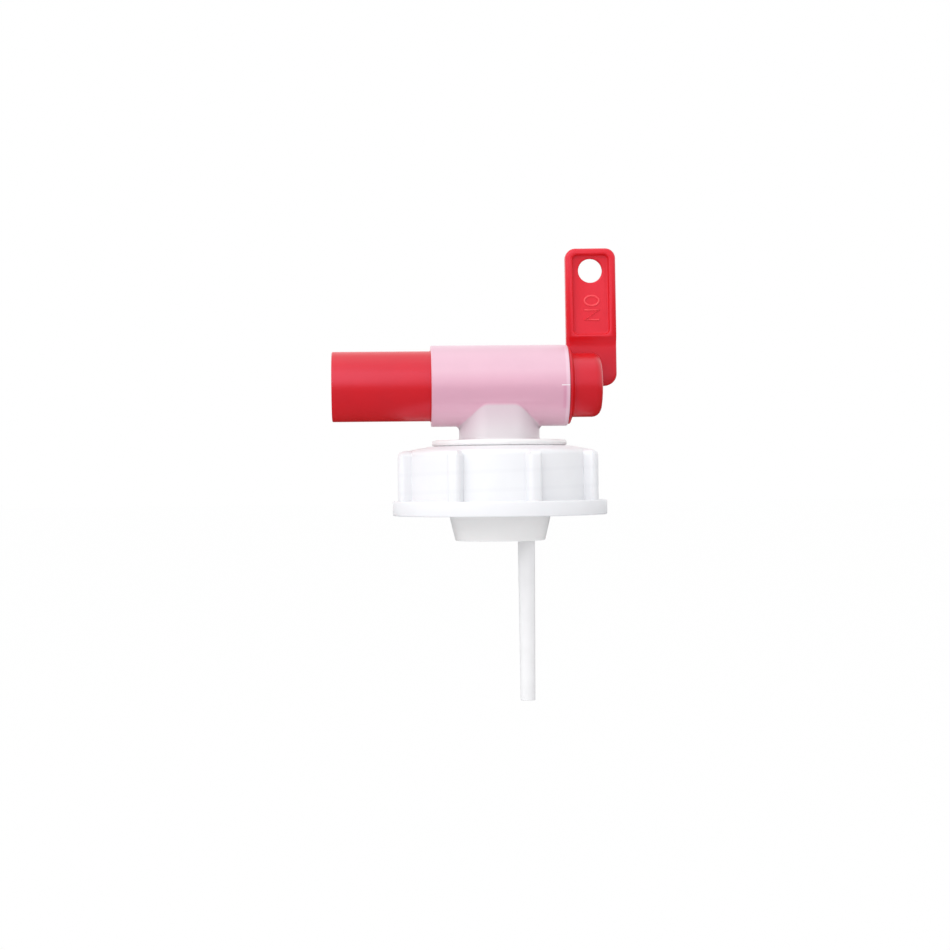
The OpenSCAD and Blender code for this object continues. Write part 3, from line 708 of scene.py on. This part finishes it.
def spindle_turning(sizes):
    """The turned part of the spindle: spout, plug, partition, snap bead, collar and boss."""
    left = sizes.partition_x - sizes.partition_thick / 2
    right = sizes.partition_x + sizes.partition_thick / 2
    bore_r = sizes.spout_r - sizes.spout_wall
    mouth = SPINDLE_LOW.x
    step_x = -sizes.barrel_end - sizes.plug_lead
    bead_left, bead_right = sizes.bead_x - sizes.bead_wide / 2, sizes.bead_x + sizes.bead_wide / 2
    bead_r = sizes.plug_r + sizes.bead_high
    collar_x = sizes.barrel_end + sizes.collar_gap
    cone_x = collar_x + sizes.collar_wide
    boss_end = sizes.barrel_end + sizes.boss_long
    outline = rounded([
        (0, left), (bore_r, left, INNER_ROUND), (bore_r, mouth, SMALL_ROUND),
        (sizes.spout_r, mouth, EDGE_ROUND), (sizes.spout_r, step_x),
        (sizes.plug_r, step_x + TINY_ROUND, TINY_ROUND / 2),
        (sizes.plug_r, bead_left - sizes.bead_high), (bead_r, bead_left), (bead_r, bead_right),
        (sizes.plug_r, bead_right), (sizes.plug_r, collar_x, TINY_ROUND / 2),
        (sizes.collar_r, collar_x, sizes.collar_round), (sizes.collar_r, cone_x, SMALL_ROUND),
        (sizes.boss_r, cone_x + sizes.cone_wide, SMALL_ROUND), (sizes.boss_r, boss_end, sizes.boss_round),
        (sizes.air_bore_r, boss_end, sizes.mouth_round), (sizes.air_bore_r, right, INNER_ROUND), (0, right)])
    return laid_along_x(turned(outline, 144, closed=False))


def stop_lug(sizes):
    """The lug that runs in the barrel's slot. Angles count from the bottom, and -90 degrees is the front."""
    inner, outer = sizes.plug_r - 0.4 * MM, sizes.lug_r
    turns = [-pi / 2 + sizes.lug_turn * step / 4 for step in range(5)]
    ring = [(outer * sin(a), -outer * cos(a)) for a in turns]
    ring += [(inner * sin(a), -inner * cos(a)) for a in reversed(turns)]
    start = sizes.barrel_end - sizes.lug_long
    end = sizes.barrel_end + sizes.collar_gap + sizes.collar_wide / 2
    return prism(ring, start, end, lambda u, v, w: (w, u, AXIS_Z + v))


def liquid_port(sizes):
    """What is cut away for the liquid port, a slot with round ends that points down."""
    half, wide = sizes.port_long / 2, sizes.port_wide / 2
    left, right = sizes.port_x - half, sizes.port_x + half
    end_round = wide - 0.01 * MM
    slot = rounded([(left, -wide, end_round), (right, -wide, end_round), (right, wide, end_round),
                    (left, wide, end_round)], 10)
    return prism(slot, AXIS_Z - 2 * sizes.plug_r, AXIS_Z, lambda u, v, w: (u, v, w))


def air_port(sizes):
    """What is cut away for the air port, a round hole that points down."""
    return prism(circle(sizes.air_port_x, 0, sizes.air_port_r, 32), AXIS_Z - 2 * sizes.plug_r, AXIS_Z,
                 lambda u, v, w: (u, v, w))


def lever_faces(sizes, boss_r):
    """Places of the lever's back and front and of its foot's front, along Y."""
    front = boss_r - sizes.thick
    return boss_r, front, front + sizes.foot_back


def leaned(sizes, u, v, w):
    """A point of an outline in X and Z, leaned with the lever, at depth w."""
    x, z = Matrix.Rotation(sizes.lean, 2) @ Vector((u, v))
    return (sizes.middle_x + x, w, AXIS_Z + z)


def lever_blade(sizes, boss_r):
    """The lever: a grip with a panel in each face and a hole, over a foot that is set back."""
    back, front, foot = lever_faces(sizes, boss_r)
    top = SPINDLE_HIGH.z - AXIS_Z
    half = sizes.wide / 2
    panel_top = top - sizes.rim + sizes.panel_rise
    panel_low = panel_top - sizes.panel_high
    foot_z = panel_low - sizes.foot_land
    hollow = sizes.foot_hollow
    turn = acos(1 - sizes.foot_back / hollow)

    def across(u, v, w):
        """A point of an outline in X and Z, at depth w."""
        return leaned(sizes, u, v, w)

    def along(u, v, w):
        """A point of an outline in Y and Z, at w along X."""
        return (sizes.middle_x + w, u, AXIS_Z + v)

    blade = prism(rounded([(-half, 0, sizes.heel_r), (half, 0, sizes.heel_r), (half, top, sizes.corner_r),
                           (-half, top, sizes.corner_r)], 8), front - 2 * MM, back + 2 * MM, across)
    scoop = [(foot - hollow + hollow * cos(turn * part), foot_z - hollow * (sin(turn) - sin(turn * part)))
             for part in [1 - step / 8 for step in range(9)]]
    side = prism([(back, -MM), (back, top + MM), (front, top + MM)] + scoop + [(foot, -MM)],
                 -2 * half, 2 * half, along)
    blade = combined(blade, side, "INTERSECT")
    bmesh.ops.dissolve_limit(blade, angle_limit=radians(0.5), verts=blade.verts, edges=blade.edges)
    soften(blade, sizes.edge_r, 4)
    side_x, corner = half - sizes.rim, sizes.panel_corner
    panel = rounded([(-side_x, panel_low, corner), (side_x, panel_low, corner), (side_x, panel_top, corner),
                     (-side_x, panel_top, corner)], 6)
    for near, far in ((front - MM, front + sizes.panel_deep), (back - sizes.panel_deep, back + MM)):
        blade = combined(blade, prism(panel, near, far, across), "DIFFERENCE")
    hole = circle(0, top - sizes.hole_down, sizes.hole_r, 48)
    blade = combined(blade, prism(hole, front - MM, back + MM, across), "DIFFERENCE")
    bmesh.ops.dissolve_limit(blade, angle_limit=radians(0.5), verts=blade.verts, edges=blade.edges)
    soften(blade, sizes.panel_edge, 3, radians(40))
    return blade


def raised_letter(sizes, points, closed, middle_z, face_y):
    """A letter as a round stroke along its middle line, turned so that it reads downwards."""
    curve = bpy.data.curves.new("letter", "CURVE")
    curve.dimensions = "3D"
    curve.bevel_depth = sizes.stroke_r
    curve.bevel_resolution = 3
    line = curve.splines.new("POLY")
    line.points.add(len(points) - 1)
    line.use_cyclic_u = closed
    for point, (along, up) in zip(line.points, points):
        point.co = (sizes.letter_x + up, face_y, AXIS_Z + middle_z - along, 1)
    curve.use_fill_caps = True
    obj = bpy.data.objects.new("letter", curve)
    bpy.context.scene.collection.objects.link(obj)
    mesh = bpy.data.meshes.new_from_object(obj.evaluated_get(bpy.context.evaluated_depsgraph_get()))
    bpy.data.objects.remove(obj)
    bpy.data.curves.remove(curve)
    return mesh


def make_letters(sizes, boss_r, finish):
    """The word ON, raised on the front panel of the lever."""
    half_a, half_b = sizes.letter_wide / 2, sizes.letter_high / 2
    ring = [(half_a * cos(FULL_TURN * i / 40), half_b * sin(FULL_TURN * i / 40)) for i in range(40)]
    zigzag = [(-half_a, -half_b), (-half_a, half_b), (half_a, -half_b), (half_a, half_b)]
    face_y = lever_faces(sizes, boss_r)[1] + sizes.panel_deep
    bm = bmesh.new()
    letters = ((ring, True, sizes.first_letter_z), (zigzag, False, sizes.second_letter_z))
    for points, closed, middle in letters:
        mesh = raised_letter(sizes, points, closed, middle, face_y)
        bm.from_mesh(mesh)
        bpy.data.meshes.remove(mesh)
    # Painted highlight: the letters' lighter red stands in for light caught by the raised strokes.
    material = plain_finish("letter_plastic", finish.letter_highlight_red, 0.35)
    return add_piece("lever_letters", bm, material, "spindle", "spindle", sharp=radians(60))


def make_spindle(sizes, lever, finish):
    """The spindle in one piece: the turned part with its ports, its lug and the lever."""
    bm = combined(spindle_turning(sizes), stop_lug(sizes), "UNION")
    air_bore = prism(circle(0, 0, sizes.air_bore_r, 64), 0, sizes.barrel_end + sizes.boss_long,
                     lambda u, v, w: (w, u, AXIS_Z + v))
    bm = combined(bm, combined(lever_blade(lever, sizes.boss_r), air_bore, "DIFFERENCE"), "UNION")
    bm = combined(bm, liquid_port(sizes), "DIFFERENCE")
    bm = combined(bm, air_port(sizes), "DIFFERENCE")
    add_piece("spindle_moulding", bm, red_finish(lever, finish), "spindle", "spindle")
    make_letters(lever, sizes.boss_r, finish)


def make_gasket(sizes, finish):
    """The flat ring under the sealing flange."""
    low, high, outer = GASKET_LOW.z, GASKET_HIGH.z, GASKET_HIGH.x
    edge = sizes.gasket_edge
    outline = rounded([(sizes.gasket_hole_r, low, edge), (outer, low, edge), (outer, high, edge),
                       (sizes.gasket_hole_r, high, edge)], 3)
    return add_piece("flat_gasket", turned(outline, 128), plain_finish("seal_foam", finish.seal, 0.7), "tap",
                     "gasket")


def make_tube(sizes, finish):
    """The vent tube, which narrows to its lower end."""
    low, high = TUBE_LOW.z, TUBE_HIGH.z
    centre, outer = (TUBE_LOW.x + TUBE_HIGH.x) / 2, (TUBE_HIGH.x - TUBE_LOW.x) / 2
    edge = sizes.tube_edge
    outline = rounded([(sizes.tube_bore_r, low, edge), (sizes.tube_end_r, low, edge),
                       (outer, sizes.tube_taper_z), (outer, high, edge), (sizes.tube_bore_r, high, edge)], 3)
    bm = turned(outline, 64)
    bmesh.ops.translate(bm, vec=(centre, 0, 0), verts=bm.verts)
    return add_piece("vent_tube", bm, plain_finish("tube_plastic", finish.tube, 0.4), "tap", "air_tube")


# Stage

def make_camera(stage):
    """The camera at the photograph's viewing angle."""
    forward = Vector((sin(stage.yaw), cos(stage.yaw), 0))
    right, up = Vector((forward.y, -forward.x, 0)), Vector((0, 0, 1))
    tilted_right = right * cos(stage.roll) - up * sin(stage.roll)
    tilted_up = up * cos(stage.roll) + right * sin(stage.roll)
    camera = bpy.data.objects.new("camera", bpy.data.cameras.new("camera"))
    camera.data.lens = stage.lens
    camera.data.sensor_width = 36.0
    place = Matrix((tilted_right, tilted_up, -forward)).transposed().to_4x4()
    place.translation = Vector(stage.target) - forward * stage.distance
    camera.matrix_world = place
    bpy.context.scene.collection.objects.link(camera)
    bpy.context.scene.camera = camera


def make_lamp(name, power, size, place, target):
    """A large soft lamp that faces a point."""
    data = bpy.data.lights.new(name, "AREA")
    data.energy = power
    data.shape = "RECTANGLE"
    data.size, data.size_y = size
    lamp = bpy.data.objects.new(name, data)
    lamp.location = place
    lamp.rotation_euler = (Vector(target) - Vector(place)).to_track_quat("-Z", "Y").to_euler()
    bpy.context.scene.collection.objects.link(lamp)


def make_floor(stage):
    """A plain pale floor below the vent tube. The camera sees it nearly white, with the object's shadow."""
    height = TUBE_LOW.z - stage.floor_drop
    bm = bmesh.new()
    bmesh.ops.create_grid(bm, x_segments=1, y_segments=1, size=8)
    bmesh.ops.translate(bm, vec=(0, 0, height), verts=bm.verts)
    mesh = bpy.data.meshes.new("floor")
    bm.to_mesh(mesh)
    bm.free()
    floor = bpy.data.objects.new("floor", mesh)
    bpy.context.scene.collection.objects.link(floor)
    material = bpy.data.materials.new("pale_floor")
    material.use_nodes = True
    tree = material.node_tree
    shader = tree.nodes["Principled BSDF"]
    shader.inputs["Base Color"].default_value = (*stage.floor_shade, 1)
    shader.inputs["Roughness"].default_value = 0.9
    ray = node(tree, "ShaderNodeLightPath").outputs
    dim = node(tree, "ShaderNodeBsdfDiffuse")
    dim.inputs["Color"].default_value = (*stage.floor_mirrored, 1)
    seen = node(tree, "ShaderNodeMixShader")
    link(tree, ray["Is Glossy Ray"], seen.inputs[0])
    link(tree, shader.outputs[0], seen.inputs[1])
    link(tree, dim.outputs[0], seen.inputs[2])
    mix = node(tree, "ShaderNodeMixShader")
    link(tree, calculate(tree, "MULTIPLY", ray["Is Camera Ray"], stage.floor_glow), mix.inputs[0])
    link(tree, seen.outputs[0], mix.inputs[1])
    link(tree, node(tree, "ShaderNodeEmission").outputs[0], mix.inputs[2])
    link(tree, mix.outputs[0], tree.nodes["Material Output"].inputs["Surface"])
    mesh.materials.append(material)


def make_world(stage):
    """Even light from all round, a little stronger in reflections. The camera sees plain white."""
    world = bpy.data.worlds.new("studio")
    bpy.context.scene.world = world
    world.use_nodes = True
    tree = world.node_tree
    ray = node(tree, "ShaderNodeLightPath").outputs
    light = tree.nodes["Background"]
    light.inputs["Strength"].default_value = stage.sky
    shown = light.outputs[0]
    for kind, strength in (("Is Glossy Ray", stage.sky_mirrored), ("Is Camera Ray", 1.0)):
        other = node(tree, "ShaderNodeBackground")
        other.inputs["Strength"].default_value = strength
        mix = node(tree, "ShaderNodeMixShader")
        link(tree, ray[kind], mix.inputs[0])
        link(tree, shown, mix.inputs[1])
        link(tree, other.outputs[0], mix.inputs[2])
        shown = mix.outputs[0]
    for background in tree.nodes:
        if background.type == "BACKGROUND":
            background.inputs["Color"].default_value = (1, 1, 1, 1)
    link(tree, shown, tree.nodes["World Output"].inputs["Surface"])


def make_stage(stage):
    """Camera, floor, world and lamps."""
    bpy.context.scene.view_settings.view_transform = "Standard"
    make_camera(stage)
    make_floor(stage)
    make_world(stage)
    make_lamp("key", stage.key, (stage.key_wide, stage.key_high), stage.key_place, (0, 0, AXIS_Z / 2))
    make_lamp("top", stage.top, (stage.top_wide, stage.top_wide), stage.top_place, (0, 0, AXIS_Z / 2))


# Operators

class TAP_OT_stage(bpy.types.Operator):
    """Sets up the camera, the floor and the light"""
    bl_idname = "tap.stage"
    bl_label = "Stage"

    def execute(self, context):
        make_stage(context.scene.tap.stage)
        return {"FINISHED"}


class TAP_OT_cap(bpy.types.Operator):
    """Models the screw cap"""
    bl_idname = "tap.cap"
    bl_label = "Screw cap"

    def execute(self, context):
        make_cap(context.scene.tap.cap, context.scene.tap.finish)
        return {"FINISHED"}


class TAP_OT_body(bpy.types.Operator):
    """Finishes the tap body"""
    bl_idname = "tap.body"
    bl_label = "Tap body"

    def execute(self, context):
        make_tap_body(context.scene.tap.body, context.scene.tap.finish)
        return {"FINISHED"}


class TAP_OT_spindle(bpy.types.Operator):
    """Models the spindle with its spout and lever"""
    bl_idname = "tap.spindle"
    bl_label = "Spindle"

    def execute(self, context):
        make_spindle(context.scene.tap.spindle, context.scene.tap.lever, context.scene.tap.finish)
        return {"FINISHED"}


class TAP_OT_seal_and_tube(bpy.types.Operator):
    """Models the gasket and the vent tube"""
    bl_idname = "tap.seal_and_tube"
    bl_label = "Gasket and vent tube"

    def execute(self, context):
        make_gasket(context.scene.tap.body, context.scene.tap.finish)
        make_tube(context.scene.tap.body, context.scene.tap.finish)
        return {"FINISHED"}


OPERATORS = (TAP_OT_stage, TAP_OT_cap, TAP_OT_body, TAP_OT_spindle, TAP_OT_seal_and_tube)


class TAP_PT_panel(bpy.types.Panel):
    """Lists the tap's operators and settings"""
    bl_idname = "TAP_PT_panel"
    bl_label = "Jerrycan Tap"
    bl_space_type = "VIEW_3D"
    bl_region_type = "UI"
    bl_category = "Jerrycan Tap"

    def draw(self, context):
        for operator in OPERATORS:
            self.layout.operator(operator.bl_idname)
        for name in ("cap", "spindle", "lever", "body", "finish", "stage"):
            group = getattr(context.scene.tap, name)
            box = self.layout.box()
            box.label(text=name.capitalize())
            for key in group.bl_rna.properties.keys():
                if key not in {"rna_type", "name"}:
                    box.prop(group, key)


CLASSES = (CapSizes, SpindleSizes, LeverSizes, BodySizes, Finishes, StageSettings, TapSettings, *OPERATORS,
           TAP_PT_panel)


def register():
    for cls in CLASSES:
        bpy.utils.register_class(cls)
    bpy.types.Scene.tap = PointerProperty(type=TapSettings)


def unregister():
    del bpy.types.Scene.tap
    for cls in reversed(CLASSES):
        bpy.utils.unregister_class(cls)


def main():
    """Registers the add-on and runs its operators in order."""
    register()
    bpy.ops.tap.stage()
    bpy.ops.tap.cap()
    bpy.ops.tap.body()
    bpy.ops.tap.spindle()
    bpy.ops.tap.seal_and_tube()


if __name__ == "__main__":
    main()
